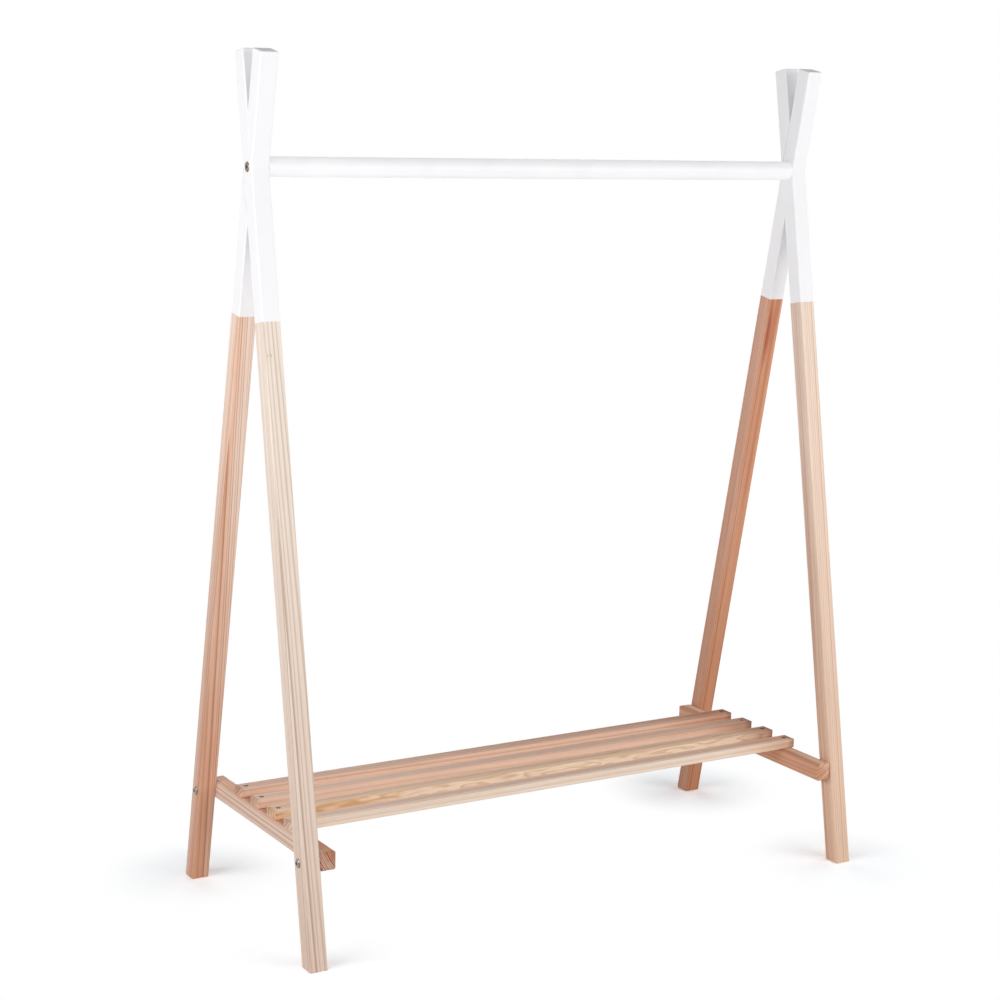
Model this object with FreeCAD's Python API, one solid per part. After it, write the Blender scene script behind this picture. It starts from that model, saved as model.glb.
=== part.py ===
"""A free-standing open clothes frame for a child's room.

Two end frames, each of two square legs that cross near the top in a flush half-lap,
carry a round hanging rod at the crossings and two rails with a slatted shelf near the floor.
Millimetres. X runs along the rod (left is -X), Y from front (-Y) to rear, Z up from the floor.
The origin is on the floor, below the middle of the rod.
"""
import FreeCAD, Part
import math
import os

# Frame
overall_length = 1000.0        # over the outer faces of the two end frames
crossing_height = 1128.0       # floor to the middle of the half-laps and of the rod
leg_lean = 10.6                # degrees from upright
leg_width = 28.0               # across the leg, in the plane of the end frame
leg_thickness = 28.0           # along X
head_length = 165.0            # along the leg, from the crossing to its square-cut top
leg_edge_radius = 2.0
leg_top_chamfer = 1.0
lap_clearance = 0.1            # each side of a leg in the notch of the other

# Rod
rod_diameter = 30.0

# Shelf
rail_top_height = 167.0
rail_height = 30.0
rail_thickness = 27.0
rail_edge_radius = 7.0         # along the rail
rail_end_radius = 7.0          # round its ends
slat_width = 28.0
slat_thickness = 15.0
slat_gap = 30.0
slat_edge_radius = 2.5
slat_corner_radius = 4.0       # corners of the slat ends, seen from above

# Machine bolts and their threaded sleeves
bolt_diameter = 6.0
bolt_length = 40.0             # under the head
bolt_hole_clearance = 0.25     # on the radius, in the wood
thread_clearance = 0.1         # on the radius, in a sleeve
bolt_tip_chamfer = 0.8
socket_width = 4.0             # hexagon, across the flats
socket_depth = 2.2
flat_head_diameter = 15.0      # bolts through the crossings
flat_head_height = 2.6
flat_head_recess = 2.0         # how deep the head sits in the lap
head_clearance = 0.2           # on the radius, round a sunk head
dome_head_diameter = 14.0      # bolts through the legs into the rails
dome_head_height = 3.6
dome_rim_height = 0.9
sleeve_diameter = 10.0
sleeve_length = 14.0
sleeve_flange_diameter = 12.5
sleeve_flange_height = 1.2
sleeve_clearance = 0.1         # on the radius, in the wood
sleeve_drill_spare = 3.0       # drilled beyond the end of the sleeve

# Wood screws that hold the slats down
screw_diameter = 4.0
screw_length = 32.0
screw_head_diameter = 8.0
screw_head_height = 2.6
screw_sink = 0.6               # head below the top of the slat
screw_tip_length = 5.0
screw_tip_diameter = 1.2
screw_clearance = 0.1          # on the radius
cross_slot_length = 4.6
cross_slot_width = 1.1
cross_slot_depth = 1.6

# Worked out from the sizes above
lean = math.radians(leg_lean)
outer_face = overall_length / 2
inner_face = outer_face - leg_thickness
lap_plane = outer_face - leg_thickness / 2
rail_middle_height = rail_top_height - rail_height / 2
rail_middle_x = inner_face - rail_thickness / 2
slat_top_height = rail_top_height + slat_thickness
slat_pitch = slat_width + slat_gap
leg_reach_at_rail = (crossing_height - rail_middle_height) * math.tan(lean)
rail_end = leg_reach_at_rail + leg_width / 2 / math.cos(lean)

X_AXIS = FreeCAD.Vector(1, 0, 0)
Y_AXIS = FreeCAD.Vector(0, 1, 0)
Z_AXIS = FreeCAD.Vector(0, 0, 1)
SIDES = {"left": -1, "right": 1}
FEET = {"front": -1, "rear": 1}
SLATS = ["rear", "rear_middle", "front_middle", "front"]


def vector(x, y, z):
    return FreeCAD.Vector(x, y, z)


def block(x_size, y_size, z_size, centre):
    """A plain box around its centre."""
    corner = centre - vector(x_size / 2, y_size / 2, z_size / 2)
    return Part.makeBox(x_size, y_size, z_size, corner)


def edges_along(shape, axis):
    """The straight edges of a box that run along an axis."""
    found = []
    for edge in shape.Edges:
        run = edge.Vertexes[1].Point - edge.Vertexes[0].Point
        if run.cross(axis).Length < 1e-6:
            found.append(edge)
    return found


def rounded_box(x_size, y_size, z_size, centre, radii):
    """A box with its edges along X, Y and Z rounded, each way with its own radius."""
    box = block(x_size, y_size, z_size, centre)
    rounded = box
    for axis, radius in zip((X_AXIS, Y_AXIS, Z_AXIS), radii):
        rounded = rounded.common(box.makeFillet(radius, edges_along(box, axis)))
    return rounded


def turned(points):
    """A solid of revolution about Z from its half outline of (radius, height) points."""
    outline = Part.makePolygon([vector(radius, 0, height) for radius, height in points + points[:1]])
    return Part.Face(outline).revolve(vector(0, 0, 0), Z_AXIS, 360)


def hexagon_socket(width, depth, top):
    """The tool that cuts a hexagon socket down from a height."""
    corner_radius = width / 2 / math.cos(math.pi / 6)
    corners = []
    for step in range(7):
        angle = step * math.pi / 3
        corners.append(vector(corner_radius * math.cos(angle), corner_radius * math.sin(angle), top - depth))
    return Part.Face(Part.makePolygon(corners)).extrude(vector(0, 0, depth))


def facing(shape, side, x, y, z):
    """Turns a fastener made with its head up so that the head faces out at one side, and sets it in place."""
    shape.rotate(vector(0, 0, 0), Y_AXIS, 90 * side)
    shape.translate(vector(x, y, z))
    return shape


def cross_hole(diameter, side, start_x, depth, y, z):
    """A drill along X from a face at one side, inwards."""
    start = vector(side * start_x, y, z)
    return Part.makeCylinder(diameter / 2, depth, start, vector(-side, 0, 0))


def leg_line(foot, height):
    """Y of a leg's middle line at a height."""
    return foot * (crossing_height - height) * math.tan(lean)


def leaning(shape, foot, side_x):
    """Leans a bar made upright about its crossing, and moves it to the crossing."""
    shape.rotate(vector(0, 0, 0), X_AXIS, foot * leg_lean)
    shape.translate(vector(side_x, 0, crossing_height))
    return shape


def lap_notch(side, foot):
    """The room that the other leg needs: front legs lose their inner half, rear legs their outer half."""
    depth = leg_thickness / 2
    middle_x = lap_plane + foot * depth / 2
    length = 2 * leg_width / math.sin(2 * lean)
    notch = block(depth, leg_width + 2 * lap_clearance, 2 * length, vector(0, 0, 0))
    return leaning(notch, -foot, side * middle_x)


def leg(side, foot):
    """One leg: square-cut top, level-cut foot, rounded edges, notched for the half-lap and drilled."""
    down = crossing_height / math.cos(lean) + leg_width
    middle = vector(0, 0, (head_length - down) / 2)
    bar = block(leg_thickness, leg_width, head_length + down, middle)
    bar = bar.makeFillet(leg_edge_radius, edges_along(bar, Z_AXIS))
    top = max(bar.Faces, key=lambda face: face.CenterOfMass.z)
    bar = bar.makeChamfer(leg_top_chamfer, top.Edges)
    bar = leaning(bar, foot, side * lap_plane)
    below = block(4 * leg_thickness, 8 * leg_width, 4 * leg_width, vector(
        side * lap_plane, leg_line(foot, 0), -2 * leg_width))
    bar = bar.cut(below).cut(lap_notch(side, foot))
    bolt_hole = bolt_diameter + 2 * bolt_hole_clearance
    bar = bar.cut(cross_hole(bolt_hole, side, outer_face, leg_thickness, 0, crossing_height))
    head_hole = flat_head_diameter + 2 * head_clearance
    bar = bar.cut(cross_hole(head_hole, side, outer_face, flat_head_recess, 0, crossing_height))
    rail_bolt_y = leg_line(foot, rail_middle_height)
    return bar.cut(cross_hole(bolt_hole, side, outer_face, leg_thickness, rail_bolt_y, rail_middle_height))


def sleeve_holes(side, y, z):
    """What is drilled and counterbored in a face at the inner side of a leg to take a threaded sleeve."""
    seat_diameter = sleeve_flange_diameter + 2 * sleeve_clearance
    seat = cross_hole(seat_diameter, side, inner_face, sleeve_flange_height, y, z)
    depth = sleeve_length + sleeve_drill_spare
    return seat.fuse(cross_hole(sleeve_diameter + 2 * sleeve_clearance, side, inner_face, depth, y, z))


def hanging_rod():
    """The round rod between the two crossings, drilled at both ends for its sleeves."""
    rod = Part.makeCylinder(rod_diameter / 2, 2 * inner_face, vector(-inner_face, 0, crossing_height), X_AXIS)
    for side in SIDES.values():
        rod = rod.cut(sleeve_holes(side, 0, crossing_height))
    return rod


def slat_middle(index):
    """Y of a slat's middle line, counted from the rear."""
    return ((len(SLATS) - 1) / 2 - index) * slat_pitch


def rail(side):
    """A rail across one end frame, on the inner faces of its legs."""
    centre = vector(side * rail_middle_x, 0, rail_middle_height)
    radii = (rail_end_radius, rail_edge_radius, rail_end_radius)
    bar = rounded_box(rail_thickness, 2 * rail_end, rail_height, centre, radii)
    for foot in FEET.values():
        bar = bar.cut(sleeve_holes(side, leg_line(foot, rail_middle_height), rail_middle_height))
    for index in range(len(SLATS)):
        bar = bar.cut(screw_hole(side, index))
    return bar


def slat(index):
    """A shelf slat from the outer face of one rail to that of the other, screwed down at both ends."""
    centre = vector(0, slat_middle(index), rail_top_height + slat_thickness / 2)
    radii = (slat_edge_radius, slat_edge_radius, slat_corner_radius)
    bar = rounded_box(2 * inner_face, slat_width, slat_thickness, centre, radii)
    for side in SIDES.values():
        bar = bar.cut(screw_hole(side, index))
    return bar


def flat_head_bolt():
    """The bolt through a crossing: a flat head with a bevelled rim and a hexagon socket."""
    head = flat_head_diameter / 2
    shank = bolt_diameter / 2
    bevel = flat_head_height / 2
    bolt = turned([
        (0, flat_head_height), (head - bevel, flat_head_height), (head, flat_head_height - bevel), (head, 0),
        (shank, 0), (shank, bolt_tip_chamfer - bolt_length), (shank - bolt_tip_chamfer, -bolt_length),
        (0, -bolt_length)])
    return bolt.cut(hexagon_socket(socket_width, socket_depth, flat_head_height))


def dome_head_bolt():
    """The bolt through a leg into a rail: a domed head on a short rim, with a hexagon socket."""
    head = dome_head_diameter / 2
    shank = bolt_diameter / 2
    crown = dome_head_height - dome_rim_height
    ball = (head * head + crown * crown) / (2 * crown)
    half_angle = math.asin(head / ball) / 2
    half_way = vector(ball * math.sin(half_angle), 0, dome_head_height - ball * (1 - math.cos(half_angle)))
    dome = Part.Arc(vector(0, 0, dome_head_height), half_way, vector(head, 0, dome_rim_height)).toShape()
    below = Part.makePolygon([
        vector(head, 0, dome_rim_height), vector(head, 0, 0), vector(shank, 0, 0),
        vector(shank, 0, bolt_tip_chamfer - bolt_length), vector(shank - bolt_tip_chamfer, 0, -bolt_length),
        vector(0, 0, -bolt_length), vector(0, 0, dome_head_height)])
    outline = Part.Wire([dome] + below.Edges)
    bolt = Part.Face(outline).revolve(vector(0, 0, 0), Z_AXIS, 360)
    return bolt.cut(hexagon_socket(socket_width, socket_depth, dome_head_height))


def threaded_sleeve():
    """A flanged sleeve, its flange up, that a bolt screws into from the flange."""
    bore = bolt_diameter / 2 + thread_clearance
    outer = sleeve_diameter / 2
    flange = sleeve_flange_diameter / 2
    return turned([
        (bore, 0), (flange, 0), (flange, -sleeve_flange_height), (outer, -sleeve_flange_height),
        (outer, -sleeve_length), (bore, -sleeve_length)])


def screw_place(side, index):
    return vector(side * rail_middle_x, slat_middle(index), slat_top_height - screw_sink)


def screw_hole(side, index):
    """The hole of one slat screw, drilled straight, countersunk and open at the top of the slat."""
    head = screw_head_diameter / 2 + screw_clearance
    shank = screw_diameter / 2 + screw_clearance
    mouth = 2 * screw_sink
    depth = screw_length + screw_clearance
    hole = turned([
        (0, mouth), (head, mouth), (head, 0), (shank, -screw_head_height), (shank, -depth), (0, -depth)])
    hole.translate(screw_place(side, index))
    return hole


def slat_screw(side, index):
    """A countersunk wood screw with a cross slot."""
    head = screw_head_diameter / 2
    shank = screw_diameter / 2
    tip = screw_tip_diameter / 2
    screw = turned([
        (0, 0), (head, 0), (shank, -screw_head_height), (shank, screw_tip_length - screw_length),
        (tip, -screw_length), (0, -screw_length)])
    slot_middle = vector(0, 0, -cross_slot_depth / 2)
    for across, along in ((cross_slot_width, cross_slot_length), (cross_slot_length, cross_slot_width)):
        screw = screw.cut(block(across, along, cross_slot_depth, slot_middle))
    screw.translate(screw_place(side, index))
    return screw


def build():
    """Every piece of the frame, by its name."""
    pieces = {"hanging_rod": hanging_rod()}
    for side_name, side in SIDES.items():
        pieces[side_name + "_rail"] = rail(side)
        seat = side * (outer_face - flat_head_recess)
        pieces[side_name + "_crossing_bolt"] = facing(flat_head_bolt(), side, seat, 0, crossing_height)
        pieces[side_name + "_rod_sleeve"] = facing(
            threaded_sleeve(), side, side * inner_face, 0, crossing_height)
        for foot_name, foot in FEET.items():
            corner = foot_name + "_" + side_name
            bolt_y = leg_line(foot, rail_middle_height)
            pieces[corner + "_leg"] = leg(side, foot)
            pieces[corner + "_rail_bolt"] = facing(
                dome_head_bolt(), side, side * outer_face, bolt_y, rail_middle_height)
            pieces[corner + "_rail_sleeve"] = facing(
                threaded_sleeve(), side, side * inner_face, bolt_y, rail_middle_height)
    for index, name in enumerate(SLATS):
        pieces[name + "_slat"] = slat(index)
        for side_name, side in SIDES.items():
            pieces[name + "_slat_" + side_name + "_screw"] = slat_screw(side, index)
    return pieces


os.makedirs("parts", exist_ok=True)
for node, shape in build().items():
    shape.exportStep("parts/" + node + ".step")
    print(node, len(shape.Solids), shape.isValid(), round(shape.Volume))
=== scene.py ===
"""How the open clothes frame looks: clear-finished pine legs dipped in white paint, a painted rod,
a slatted pine shelf and plated steel fasteners, on a plain pale floor in soft studio light.
Metres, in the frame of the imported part: X along the rod, Y from front to rear, Z up from the floor.
"""
import bpy
import math
from mathutils import Euler, Matrix, Vector


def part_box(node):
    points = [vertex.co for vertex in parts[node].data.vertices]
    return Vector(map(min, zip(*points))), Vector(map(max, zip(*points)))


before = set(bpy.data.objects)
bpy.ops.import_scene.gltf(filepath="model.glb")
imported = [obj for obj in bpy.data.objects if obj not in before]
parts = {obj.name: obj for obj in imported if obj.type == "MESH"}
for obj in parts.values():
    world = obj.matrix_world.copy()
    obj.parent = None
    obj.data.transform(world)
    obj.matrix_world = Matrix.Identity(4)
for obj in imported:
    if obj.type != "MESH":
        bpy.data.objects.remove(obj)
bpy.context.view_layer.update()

MM = 0.001

# Camera, worked out from the edges of the frame in the photograph
image_side = 1000                      # pixels
focal_length = 2128.8                  # pixels
optical_axis = (500, 520)              # pixels, where the lens looks straight ahead
sensor_width = 36.0                    # millimetres
camera_place = Vector((-1.7820, -2.7864, 1.2313))
camera_turn = math.radians(-31.65)
camera_pitch = math.radians(11.18)     # down from level
camera_roll = math.radians(1.56)

# Light: the point that the soft boxes face, and the place, width, height and level of each
light_aim = Vector((0, 0, 1.05))
SOFT_BOXES = {
    "front_left_light": ((-1.27, -2.04, 1.35), 2.4, 1.2, 2.05),
    "front_right_light": ((1.2, -2.1, 1.35), 2.2, 1.2, 3.4),
    "left_light": ((-2.4, -0.3, 1.35), 1.8, 1.2, 3.95),
    "right_light": ((2.8, 0.6, 1.35), 2.0, 1.2, 1.8),
    "rear_light": ((0.3, 2.6, 0.5), 2.0, 0.8, 6.8),
}
ambient_level = 0.155

# Floor
floor_side = 40
floor_drop = 0.2 * MM                  # below the feet, so that no two surfaces coincide
shadow_radius = 0.03                   # round a foot, where the floor shows all of its shadow
white_radius = 0.17                    # round a foot, where the floor has faded to white
floor_grey = "#D6DBDE"
floor_bounce = "#F4F4F4"
white = "#FFFFFF"

# White satin paint, on the rod and on the dipped tops of the legs
paint_white = "#FAF9FB"
thick_paint_white = "#FEFDFE"
paint_roughness = 0.42

# Steel pieces by the end of their names: finish, bright and dull colour, and axis
sideways = Vector((1, 0, 0))
upwards = Vector((0, 0, 1))
STEEL_FINISHES = {
    "crossing_bolt": ("bronzed_steel_", "#95877D", "#6F635B", sideways),
    "rail_bolt": ("zinc_plated_steel_", "#A79E97", "#6A605A", sideways),
    "sleeve": ("zinc_sleeve_", "#CFC6B0", "#A39A86", sideways),
    "screw": ("zinc_screw_", "#72665E", "#483F39", upwards),
}
# Painted shade in the sockets of the bolts and screws
socket_painted_shade = "#4A4642"

# Where the pieces are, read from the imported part


def middle(node):
    low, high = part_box(node)
    return (low + high) / 2


def size(node):
    low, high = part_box(node)
    return high - low


crossing_height = middle("left_crossing_bolt").z
rail_bolt = middle("front_left_rail_bolt")
lean = math.atan2(-rail_bolt.y, crossing_height - rail_bolt.z)
leg_below_crossing = crossing_height / math.cos(lean)
along_x = Matrix.Rotation(math.radians(90), 3, "Y")
along_y = Matrix.Rotation(math.radians(-90), 3, "X")

# The deepening at a leg's foot is partly the wood's own colour, partly painted shade near the floor.
# Pine boards, in millimetres. Each has a frame of its own, with z along the grain:
#   a leg's starts at the crossing, with x to the right, y to the rear and z up the leg,
#   a rail's starts in its middle, with x to the right, y down and z to the rear,
#   a slat's starts in its middle, with x down, y to the rear and z to the right.
# early and late are the colours of the wood. heart, foot and end deepen them near the pith, at a leg's foot
# and on cut ends. dip is how far down the leg the paint comes.
# pith is where the pith line passes, and slope its slant about x and y, in radians. ring is the width of a
# year, and heart_radius the reach of the heartwood. wander and bends are for rings that stray more than
# usual. seed sets the noise of a board apart from the others.
# Marks are knots, resin streaks and wide soft tints, some of them painted shade: middle, reach across and
# along the grain, and tint.
# A reach of 2000 or more goes all along the board.
LEG_BOARDS = {
    "front_left": dict(
        early="#FDEFE1", late="#C5AA95", heart="#F7ECE2", foot="#EDE0DB", dip=220,
        pith=(26, 44), slope=(0.006, -0.004), ring=3.0, heart_radius=46, seed=1.7,
        marks=[((-10, -14, -268), 0.9, 3, "#D2B7A2"), ((-5, -14, -268), 0.9, 3, "#D2B7A2")]),
    "rear_left": dict(
        early="#FEE6D6", late="#CE9C82", heart="#F4DECD", foot="#E8D4CA", dip=216,
        pith=(-45, -52), slope=(0.003, -0.02), ring=3.4, heart_radius=49, seed=4.1,
        # The wide tint low down the outer face is painted shade.
        marks=[((-30, 0, -690), 30, 380, "#EBE3E0")]),
    "front_right": dict(
        early="#FDE8D6", late="#E2B99E", heart="#EFE7E7", foot="#F5E5DA", dip=217,
        pith=(-56, 30), slope=(0.004, 0.004), ring=3.2, heart_radius=58, seed=7.3,
        # The wide tint on the lower part of the inner face is painted shade.
        marks=[((-30, 3, -920), 30, 640, "#E4D7CE")]),
    "rear_right": dict(
        early="#F2C6B0", late="#CE9678", heart="#F1D5BF", foot="#EAE3D8", dip=215,
        pith=(6, -30), slope=(-0.002, 0.004), ring=3.4, heart_radius=26, seed=11.9,
        # The short dark streak is the wood's own; the tint all down the inner face is painted shade.
        marks=[((-6, -14, -275), 7, 70, "#DDB9AC"), ((-14, 5, -600), 17, 3000, "#EADED9")]),
}
RAIL_BOARDS = {
    "left": dict(
        early="#F3D8C7", late="#B98F78", heart="#F6E6DC", end="#B98C76",
        pith=(60, -36), slope=(0.01, 0), ring=2.7, heart_radius=66, seed=2.9,
        marks=[((2, -15, 0), 19, 2000, "#ECCFB8")]),
    "right": dict(
        early="#F0C8AE", late="#BE8262", heart="#F4DECE", end="#F2E4DA",
        pith=(26, 40), slope=(0, 0.01), ring=5.0, heart_radius=40, seed=6.2,
        marks=[((-13.5, 0, 0), 19, 2000, "#EAD2C4")]),
}

# What the slats share
slat_half = size("front_slat") / 2 / MM
# Where the painted shade lies on every slat
slat_top = (-slat_half.z, 2, 0)        # a little behind its middle line
slat_right_end = (0, 0, slat_half.x + 2)    # just past the wood
# Painted shade at a slat's right tip
slat_tip_painted_shade = "#B8A499"
slat_end = "#E3D3C8"


def slat_painted_shade(top, right_reach, right):
    """Painted shade that every slat has: all along its top, towards its right end, and at the tip there."""
    return [(slat_top, 16, 2000, top),
            (slat_right_end, 40, right_reach, right),
            (slat_right_end, 30, 20, slat_tip_painted_shade)]


SLAT_BOARDS = {
    "rear": dict(
        early="#F2CAB1", late="#CB987C", heart="#F2D8C6", end=slat_end,
        pith=(-50, 42), slope=(0.003, 0.002), ring=7.0, heart_radius=30, seed=3.3,
        marks=slat_painted_shade("#DCD6D6", 180, "#E4CEC3")),
    "rear_middle": dict(
        early="#F3CDB5", late="#D2A287", heart="#F2DCCB", end=slat_end,
        pith=(48, 46), slope=(-0.002, 0.004), ring=6.5, heart_radius=30, seed=5.8,
        marks=slat_painted_shade("#ECE9E8", 110, "#DDCEC7")),
    "front_middle": dict(
        early="#FBDFC4", late="#D9AE86", heart="#F6E2D0", end=slat_end, wander=9, bends=(16.7, 91),
        pith=(4, -60), slope=(0, 0.002), ring=5.0, heart_radius=20, seed=8.4,
        marks=slat_painted_shade("#E8DBD4", 85, "#CFB2A6") + [((0, -14, -400), 15, 160, "#F6E6D0")]),
    "front": dict(
        early="#FBE6D3", late="#DBB79E", heart="#F3E2D4", end=slat_end,
        pith=(-52, 48), slope=(0.002, -0.003), ring=7.0, heart_radius=30, seed=9.6,
        marks=slat_painted_shade("#E6D4CC", 150, "#F8E6D8")),
}

# What all boards share. Patterns have their size in millimetres across the grain and along it.
usual_wander = 2.5                     # millimetres that a ring strays from a true circle
usual_bends = (111, 909)
streak_size = (9, 400)
fibre_size = (1.1, 91)                 # coarser than real fibres, so that they show
# How dark the wood is through a year, from the start of spring, 0, to the next, 1. The two ends come first.
YEAR_TONES = ((0.0, 0.25), (1.0, 0.25), (0.07, 0.0), (0.45, 0.06), (0.66, 0.4), (0.82, 1.0), (0.93, 0.9))
faintest_year = 0.35                   # its dark, as a share of the darkest year's
year_spread = 2.2                      # years that the rings gain where they are narrow and lose where wide
year_pace = 0.4                        # how often that changes, a year
heart_fray = 36                        # millimetres between the furthest and the nearest streak of heartwood
heart_blur = 6                         # millimetres
early_roughness = 0.62
late_roughness = 0.5

# Soft noise seldom leaves this range
noise_low = 0.3
noise_high = 0.7


# Materials


def linear(hex_colour):
    """A colour written as sRGB hex, as the linear values that the shaders take."""
    shown = [int(hex_colour[place:place + 2], 16) / 255 for place in (1, 3, 5)]
    return [c / 12.92 if c <= 0.04045 else ((c + 0.055) / 1.055) ** 2.4 for c in shown] + [1.0]


def cells(across, along):
    """How often a pattern of this size, in millimetres, comes in a metre along each axis of its board."""
    return (1 / (across * MM), 1 / (across * MM), 1 / (along * MM))


def put(tree, kind, out=None, stops=(), **settings):
    """Adds one node. A setting named like an input is set or linked there, any other is set on the node.
    Returns the named output, or the first one in use."""
    node = tree.nodes.new("ShaderNode" + kind)
    inputs = {socket.identifier: socket for socket in node.inputs}
    for key, value in settings.items():
        name = key if key in inputs else key.replace("_", " ")
        if name not in inputs:
            setattr(node, key, value)
        elif isinstance(value, bpy.types.NodeSocket):
            tree.links.new(value, inputs[name])
        else:
            inputs[name].default_value = value
    for count, (place, value) in enumerate(stops):
        elements = node.color_ramp.elements
        element = elements[count] if count < 2 else elements.new(place)
        element.position = place
        element.color = linear(value) if isinstance(value, str) else (value, value, value, 1)
    if out:
        return node.outputs[out]
    return next((socket for socket in node.outputs if socket.enabled), None)


def new_material(name):
    material = bpy.data.materials.new(name)
    material.use_nodes = True
    material.node_tree.nodes.clear()
    return material, material.node_tree


def finish_material(tree, **settings):
    """The surface itself. Linked values vary over it, and plain ones are the same all over."""
    surface = put(tree, "BsdfPrincipled", **settings)
    put(tree, "OutputMaterial", Surface=surface)


def dress(node, material):
    part = parts[node]
    part.data.materials.clear()
    part.data.materials.append(material)


# Pine


def growth_rings(tree, trunk, board):
    """Rings about the pith line. Returns how far a spot is from that line, and how dark its wood is: 0 in the
    palest early wood, 1 in the darkest late wood."""
    seed = board["seed"]

    # A trunk isn't a true cone, so the rings stray to both sides on their way along the board
    stray = 2 * board.get("wander", usual_wander) * MM
    bends = cells(*board.get("bends", usual_bends))
    sway = put(tree, "Mapping", Vector=trunk, Location=(seed, seed, seed), Scale=bends)
    sway = put(tree, "TexNoise", out="Color", Vector=sway, Scale=1, Detail=2)
    sway = put(tree, "VectorMath", operation="SUBTRACT", Vector=sway, Vector_001=(0.5, 0.5, 0.5))
    bent = put(tree, "VectorMath", operation="MULTIPLY_ADD", Vector=sway,
               Vector_001=(stray, stray, 0), Vector_002=trunk)
    across = put(tree, "VectorMath", operation="MULTIPLY", Vector=bent, Vector_001=(1, 1, 0))
    radius = put(tree, "VectorMath", out="Value", operation="LENGTH", Vector=across)

    # Years, some wider and some fainter than others, each pale at first and dark at its end
    years = put(tree, "Math", operation="MULTIPLY", Value=radius, Value_001=1 / (board["ring"] * MM))
    uneven = put(tree, "TexNoise", noise_dimensions="1D", W=years, Scale=year_pace, Detail=1)
    years = put(tree, "Math", operation="MULTIPLY_ADD", Value=uneven, Value_001=year_spread, Value_002=years)
    season = put(tree, "Math", operation="FRACT", Value=years)
    late = put(tree, "ValToRGB", Fac=season, stops=YEAR_TONES)
    year = put(tree, "Math", operation="FLOOR", Value=years)
    year_tone = put(tree, "TexWhiteNoise", noise_dimensions="1D", W=year)
    year_tone = put(tree, "MapRange", Value=year_tone, To_Min=faintest_year, To_Max=1.0)
    late = put(tree, "Math", operation="MULTIPLY", Value=late, Value_001=year_tone)
    return radius, late


def heartwood(tree, colour, radius, streaks, board):
    """Heartwood, nearer the pith, is darker and redder, with a streaky edge."""
    frayed = put(tree, "Math", operation="MULTIPLY_ADD", Value=streaks,
                 Value_001=heart_fray * MM, Value_002=radius)
    heart_edge = (board["heart_radius"] + heart_fray / 2) * MM
    heart = put(tree, "MapRange", Value=frayed,
                From_Min=heart_edge + heart_blur * MM, From_Max=heart_edge - heart_blur * MM)
    return put(tree, "Mix", data_type="RGBA", blend_type="MULTIPLY", Factor_Float=heart,
               A_Color=colour, B_Color=linear(board["heart"]))


def knots_tints_and_painted_shade(tree, colour, own, streaks, board):
    """The board's marks and painted shade, each a long spot whose edge the streaks make uneven."""
    full = 0.8                         # in reaches from the middle, plus about a half for the streaks
    gone = 1.5
    for mark_middle, across_reach, along_reach, tint in board["marks"]:
        off = put(tree, "VectorMath", operation="SUBTRACT", Vector=own, Vector_001=Vector(mark_middle) * MM)
        reach = Vector((across_reach, across_reach, along_reach)) * MM
        off = put(tree, "VectorMath", operation="DIVIDE", Vector=off, Vector_001=reach)
        far = put(tree, "VectorMath", out="Value", operation="LENGTH", Vector=off)
        far = put(tree, "Math", operation="ADD", Value=far, Value_001=streaks)
        mark = put(tree, "MapRange", Value=far, From_Min=gone, From_Max=full)
        colour = put(tree, "Mix", data_type="RGBA", blend_type="MULTIPLY", Factor_Float=mark,
                     A_Color=colour, B_Color=linear(tint))
    return colour


def cut_ends(tree, colour, node, turn, along, late, board):
    """Cut ends soak up more finish, which deepens their lines most, also just round the corner."""
    turns_to_end = 0.55                # how far a face looks along the grain where it starts to be an end
    faces_end = 0.9                    # and where it is one in full
    corner_reach = 7 * MM              # from the end, where the deeper tone starts
    corner_full = 2 * MM               # and where it is full
    late_enough = 0.6                  # how dark the lines are that soak up most
    early_share = 0.45                 # of that, in the palest wood
    grain_line = turn @ Vector((0, 0, 1))
    half_length = abs(size(node) @ grain_line) / 2
    facing = put(tree, "TexCoord", out="Normal")
    end = put(tree, "VectorMath", out="Value", operation="DOT_PRODUCT", Vector=facing, Vector_001=grain_line)
    end = put(tree, "Math", operation="ABSOLUTE", Value=end)
    end = put(tree, "MapRange", Value=end, From_Min=turns_to_end, From_Max=faces_end)
    corner = put(tree, "Math", operation="ABSOLUTE", Value=along)
    corner = put(tree, "MapRange", Value=corner,
                 From_Min=half_length - corner_reach, From_Max=half_length - corner_full)
    end = put(tree, "Math", operation="MAXIMUM", Value=end, Value_001=corner)
    soaked = put(tree, "MapRange", Value=late, From_Max=late_enough, To_Min=early_share, To_Max=1.0)
    end = put(tree, "Math", operation="MULTIPLY", Value=end, Value_001=soaked)
    return put(tree, "Mix", data_type="RGBA", blend_type="MULTIPLY", Factor_Float=end,
               A_Color=colour, B_Color=linear(board["end"]))


def foot_colour_and_painted_shade(tree, colour, along, board):
    """A leg deepens a little from the paint down to its foot: partly the wood's own colour, partly painted
    shade near the floor.
    """
    low = put(tree, "MapRange", Value=along, From_Min=-board["dip"] * MM, From_Max=-leg_below_crossing)
    return put(tree, "Mix", data_type="RGBA", blend_type="MULTIPLY", Factor_Float=low,
               A_Color=colour, B_Color=linear(board["foot"]))


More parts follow.
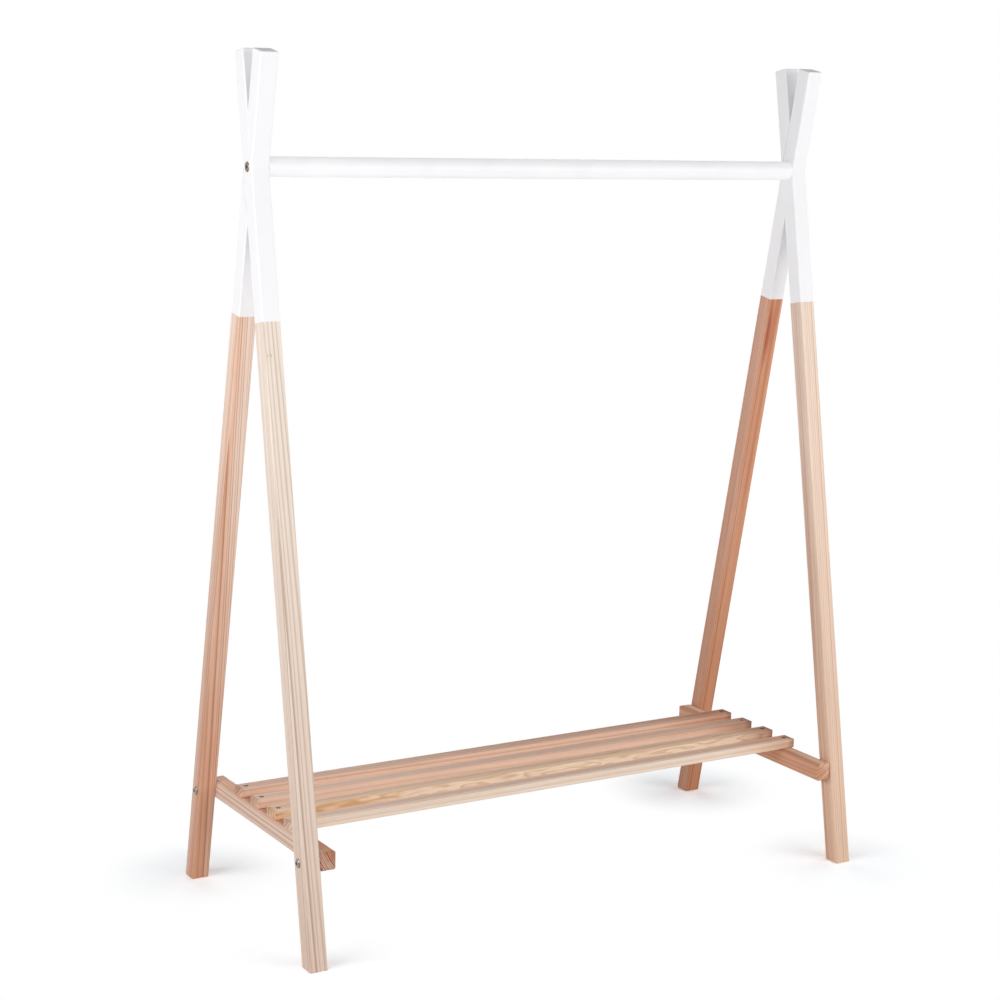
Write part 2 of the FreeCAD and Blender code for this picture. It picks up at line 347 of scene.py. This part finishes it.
def white_dip(tree, colour, roughness, grain, spot, along, board):
    """White paint from a dip. It stops at a clean line square to the leg, and hides the figure but not quite
    the fibres."""
    line_height = -board["dip"] * MM
    line_wave = 6 * MM
    line_wobble = 0.6 * MM
    bare_below = 0.1 * MM
    painted_above = 0.4 * MM
    relief_left = 0.25                 # of the grain's relief, under the paint
    coat = 1.4                         # thickness, in units of that relief
    wobble = put(tree, "TexNoise", Vector=spot, Scale=1 / line_wave, Detail=1)
    line = put(tree, "Math", operation="MULTIPLY_ADD", Value=wobble, Value_001=line_wobble, Value_002=along)
    paint = put(tree, "MapRange", Value=line,
                From_Min=line_height - bare_below, From_Max=line_height + painted_above)
    colour = put(tree, "Mix", data_type="RGBA", Factor_Float=paint,
                 A_Color=colour, B_Color=linear(paint_white))
    roughness = put(tree, "Mix", Factor_Float=paint, A_Float=roughness, B_Float=paint_roughness)
    filled = put(tree, "Math", operation="MULTIPLY_ADD", Value=grain, Value_001=relief_left, Value_002=coat)
    grain = put(tree, "Mix", Factor_Float=paint, A_Float=grain, B_Float=filled)
    return colour, roughness, grain


def pine(node, place, turn, board):
    """Planed pine under a thin clear matt finish. Growth rings about a pith line that lies outside the board
    give pale early wood and darker late wood: straight lines on one face, a wide figure on the next, arcs on
    the ends. place and turn put the board's own frame into the object's frame."""
    seed = board["seed"]
    dipped = "dip" in board
    late_relief = 0.6
    relief_strength = 0.35
    relief_height = 0.12 * MM
    darkest_fibre = 0.885
    palest_fibre = 1.01
    material, tree = new_material(("dipped_pine_" if dipped else "clear_pine_") + node)
    spot = put(tree, "TexCoord", out="Object")
    own = put(tree, "Mapping", vector_type="TEXTURE", Vector=spot, Location=place, Rotation=turn.to_euler())
    along = put(tree, "SeparateXYZ", out="Z", Vector=own)
    pith_place = place + turn @ Vector((*board["pith"], 0)) * MM
    pith_turn = (turn @ Euler((*board["slope"], 0)).to_matrix()).to_euler()
    trunk = put(tree, "Mapping", vector_type="TEXTURE", Vector=spot, Location=pith_place, Rotation=pith_turn)

    radius, late = growth_rings(tree, trunk, board)
    colour = put(tree, "Mix", data_type="RGBA", Factor_Float=late,
                 A_Color=linear(board["early"]), B_Color=linear(board["late"]))
    streaks = put(tree, "Mapping", Vector=trunk, Location=(seed, 3 * seed, 0), Scale=cells(*streak_size))
    streaks = put(tree, "TexNoise", Vector=streaks, Scale=1, Detail=3, Roughness=0.6)
    colour = heartwood(tree, colour, radius, streaks, board)
    colour = knots_tints_and_painted_shade(tree, colour, own, streaks, board)

    fibre = put(tree, "Mapping", Vector=trunk, Location=(0, seed, seed), Scale=cells(*fibre_size))
    fibre = put(tree, "TexNoise", Vector=fibre, Scale=1, Detail=3, Roughness=0.6)
    shade = put(tree, "MapRange", Value=fibre, From_Min=noise_low, From_Max=noise_high,
                To_Min=darkest_fibre, To_Max=palest_fibre)
    colour = put(tree, "VectorMath", operation="SCALE", Vector=colour, Scale=shade)

    roughness = put(tree, "MapRange", Value=late, To_Min=early_roughness, To_Max=late_roughness)
    grain = put(tree, "Math", operation="MULTIPLY_ADD", Value=late, Value_001=late_relief, Value_002=fibre)
    if dipped:
        colour = foot_colour_and_painted_shade(tree, colour, along, board)
        colour, roughness, grain = white_dip(tree, colour, roughness, grain, spot, along, board)
    else:
        colour = cut_ends(tree, colour, node, turn, along, late, board)
    relief = put(tree, "Bump", Height=grain, Strength=relief_strength, Distance=relief_height)
    finish_material(tree, Base_Color=colour, Roughness=roughness, Normal=relief, Specular_IOR_Level=0.3)
    return material


def dress_wood():
    for corner, board in LEG_BOARDS.items():
        node = corner + "_leg"
        crossing = Vector((middle(node).x, 0, crossing_height))
        leg_lean = -lean if corner.startswith("front") else lean
        dress(node, pine(node, crossing, Matrix.Rotation(leg_lean, 3, "X"), board))
    for side, board in RAIL_BOARDS.items():
        node = side + "_rail"
        dress(node, pine(node, middle(node), along_y, board))
    for row, board in SLAT_BOARDS.items():
        node = row + "_slat"
        dress(node, pine(node, middle(node), along_x, board))


# Painted rod


def brushed_white_paint(name, place, turn):
    """White satin paint, brushed on a pine dowel: an even pale coat with slight sags, and the strokes and the
    grain just felt through it."""
    stroke_size = (2.4, 143)           # millimetres
    cloud_size = 45 * MM
    roughness_swing = 0.06
    stroke_height = 0.08 * MM
    material, tree = new_material(name)
    spot = put(tree, "TexCoord", out="Object")
    own = put(tree, "Mapping", vector_type="TEXTURE", Vector=spot, Location=place, Rotation=turn.to_euler())
    strokes = put(tree, "Mapping", Vector=own, Scale=cells(*stroke_size))
    strokes = put(tree, "TexNoise", Vector=strokes, Scale=1, Detail=3)
    clouds = put(tree, "TexNoise", Vector=own, Scale=1 / cloud_size, Detail=2)
    tone = put(tree, "ValToRGB", Fac=clouds,
               stops=((noise_low, paint_white), (noise_high, thick_paint_white)))
    roughness = put(tree, "MapRange", Value=clouds,
                    To_Min=paint_roughness - roughness_swing, To_Max=paint_roughness + roughness_swing)
    relief = put(tree, "Bump", Height=strokes, Strength=0.2, Distance=stroke_height)
    finish_material(tree, Base_Color=tone, Roughness=roughness, Normal=relief, Specular_IOR_Level=0.4,
                    Diffuse_Roughness=1.0)
    return material


def dress_rod():
    node = "hanging_rod"
    dress(node, brushed_white_paint("white_paint_" + node, middle(node), along_x))


# Steel


def plated_steel(name, node, axis, bright, dull):
    """Plated steel, turned and then tumbled: fine rings about the axis, cloudy plating that is smoothest
    where it is bright, and painted shade in the socket."""
    ring_width = 0.35 * MM
    cloud_size = 2.5 * MM
    socket_radius = 2.0 * MM
    rim_radius = 2.6 * MM
    ring_height = 0.05 * MM
    ring_share = 0.5                   # of the rings in the plating, beside its clouds
    dull_at = 0.45
    bright_at = 0.95
    dull_roughness = 0.4
    bright_roughness = 0.2
    material, tree = new_material(name)
    spot = put(tree, "TexCoord", out="Object")
    turn = Vector((0, 0, 1)).rotation_difference(axis).to_euler()
    own = put(tree, "Mapping", vector_type="TEXTURE", Vector=spot, Location=middle(node), Rotation=turn)
    flat = put(tree, "VectorMath", operation="MULTIPLY", Vector=own, Vector_001=(1, 1, 0))
    radius = put(tree, "VectorMath", out="Value", operation="LENGTH", Vector=flat)
    rings = put(tree, "TexNoise", noise_dimensions="1D", W=radius, Scale=1 / ring_width, Detail=2)
    clouds = put(tree, "TexNoise", Vector=own, Scale=1 / cloud_size, Detail=3)
    plating = put(tree, "Math", operation="MULTIPLY_ADD", Value=rings,
                  Value_001=ring_share, Value_002=clouds)
    colour = put(tree, "ValToRGB", Fac=plating, stops=((dull_at, dull), (bright_at, bright)))
    # Painted shade in the socket
    outside = put(tree, "MapRange", Value=radius, From_Min=socket_radius, From_Max=rim_radius)
    colour = put(tree, "Mix", data_type="RGBA", Factor_Float=outside,
                 A_Color=linear(socket_painted_shade), B_Color=colour)
    roughness = put(tree, "MapRange", Value=plating, To_Min=dull_roughness, To_Max=bright_roughness)
    relief = put(tree, "Bump", Height=rings, Strength=0.15, Distance=ring_height)
    finish_material(tree, Base_Color=colour, Roughness=roughness, Normal=relief, Metallic=1.0)
    return material


def dress_steel():
    for node in parts:
        for ending, (finish, bright, dull, axis) in STEEL_FINISHES.items():
            if node.endswith(ending):
                dress(node, plated_steel(finish + node, node, axis, bright, dull))


# Studio


def soft_light(name, place, width, height, level):
    """A soft box: an even rectangle of light that faces the frame. level is how bright its face is."""
    lamp = bpy.data.lights.new(name, "AREA")
    lamp.shape = "RECTANGLE"
    lamp.size = width
    lamp.size_y = height
    lamp.energy = level * math.pi * width * height
    holder = bpy.data.objects.new(name, lamp)
    holder.location = place
    holder.rotation_euler = (light_aim - Vector(place)).to_track_quat("-Z", "Y").to_euler()
    holder.visible_camera = False
    bpy.context.scene.collection.objects.link(holder)


def seen_directly(tree):
    """1 for what the camera sees, by itself or in metal or glass, and 0 for light on its way to a surface."""
    in_metal = put(tree, "LightPath", out="Is Glossy Ray")
    in_glass = put(tree, "LightPath", out="Is Transmission Ray")
    by_itself = put(tree, "LightPath", out="Is Camera Ray")
    either = put(tree, "Math", operation="MAXIMUM", Value=in_metal, Value_001=in_glass)
    return put(tree, "Math", operation="MAXIMUM", Value=by_itself, Value_001=either)


def white_world():
    """A dim even room that shows as white."""
    world = bpy.data.worlds.new("white_studio")
    world.use_nodes = True
    tree = world.node_tree
    tree.nodes.clear()
    room = put(tree, "Background", Color=linear(white), Strength=ambient_level)
    backdrop = put(tree, "Background", Color=linear(white), Strength=1.0)
    mixed = put(tree, "MixShader", Fac=seen_directly(tree), Shader=room, Shader_001=backdrop)
    put(tree, "OutputWorld", Surface=mixed)
    bpy.context.scene.world = world


def pale_floor():
    """A white floor that shows the frame's shadow round each foot and none further off."""
    bpy.ops.object.select_all(action="DESELECT")
    bpy.ops.mesh.primitive_plane_add(size=floor_side, location=(0, 0, -floor_drop))
    floor = bpy.context.object
    floor.name = "floor"
    material, tree = new_material("pale_floor")

    # The four feet lie alike about the middle, so one of them stands for all
    spot = put(tree, "TexCoord", out="Object")
    quarter = put(tree, "VectorMath", operation="ABSOLUTE", Vector=spot)
    foot = Vector((middle("rear_right_leg").x, crossing_height * math.tan(lean), 0))
    away = put(tree, "VectorMath", out="Value", operation="DISTANCE", Vector=quarter, Vector_001=foot)
    fade = put(tree, "MapRange", interpolation_type="SMOOTHSTEP", Value=away,
               From_Min=shadow_radius, From_Max=white_radius)

    # The soft boxes reach the floor at a slant, so its colour counts twice and comes out nearly white
    shaded = put(tree, "BsdfDiffuse", Color=linear(floor_grey))
    near = put(tree, "AddShader", Shader=shaded, Shader_001=shaded)
    far = put(tree, "Emission", Color=linear(white), Strength=1.0)
    shown = put(tree, "MixShader", Fac=fade, Shader=near, Shader_001=far)
    bounce = put(tree, "BsdfDiffuse", Color=linear(floor_bounce))
    mixed = put(tree, "MixShader", Fac=seen_directly(tree), Shader=bounce, Shader_001=shown)
    put(tree, "OutputMaterial", Surface=mixed)
    floor.data.materials.append(material)


def studio():
    white_world()
    pale_floor()
    for name, (place, width, height, level) in SOFT_BOXES.items():
        soft_light(name, place, width, height, level)


def place_camera():
    lens = bpy.data.cameras.new("camera")
    lens.sensor_width = sensor_width
    lens.lens = focal_length * sensor_width / image_side
    lens.shift_x = 0.5 - optical_axis[0] / image_side
    lens.shift_y = optical_axis[1] / image_side - 0.5
    holder = bpy.data.objects.new("camera", lens)
    turn = Matrix.Rotation(camera_turn, 3, "Z")
    pitch = Matrix.Rotation(math.radians(90) - camera_pitch, 3, "X")
    roll = Matrix.Rotation(camera_roll, 3, "Z")
    holder.rotation_euler = (turn @ pitch @ roll).to_euler()
    holder.location = camera_place
    bpy.context.scene.collection.objects.link(holder)
    bpy.context.scene.camera = holder


dress_wood()
dress_rod()
dress_steel()
studio()
place_camera()
bpy.context.scene.view_settings.view_transform = "Standard"
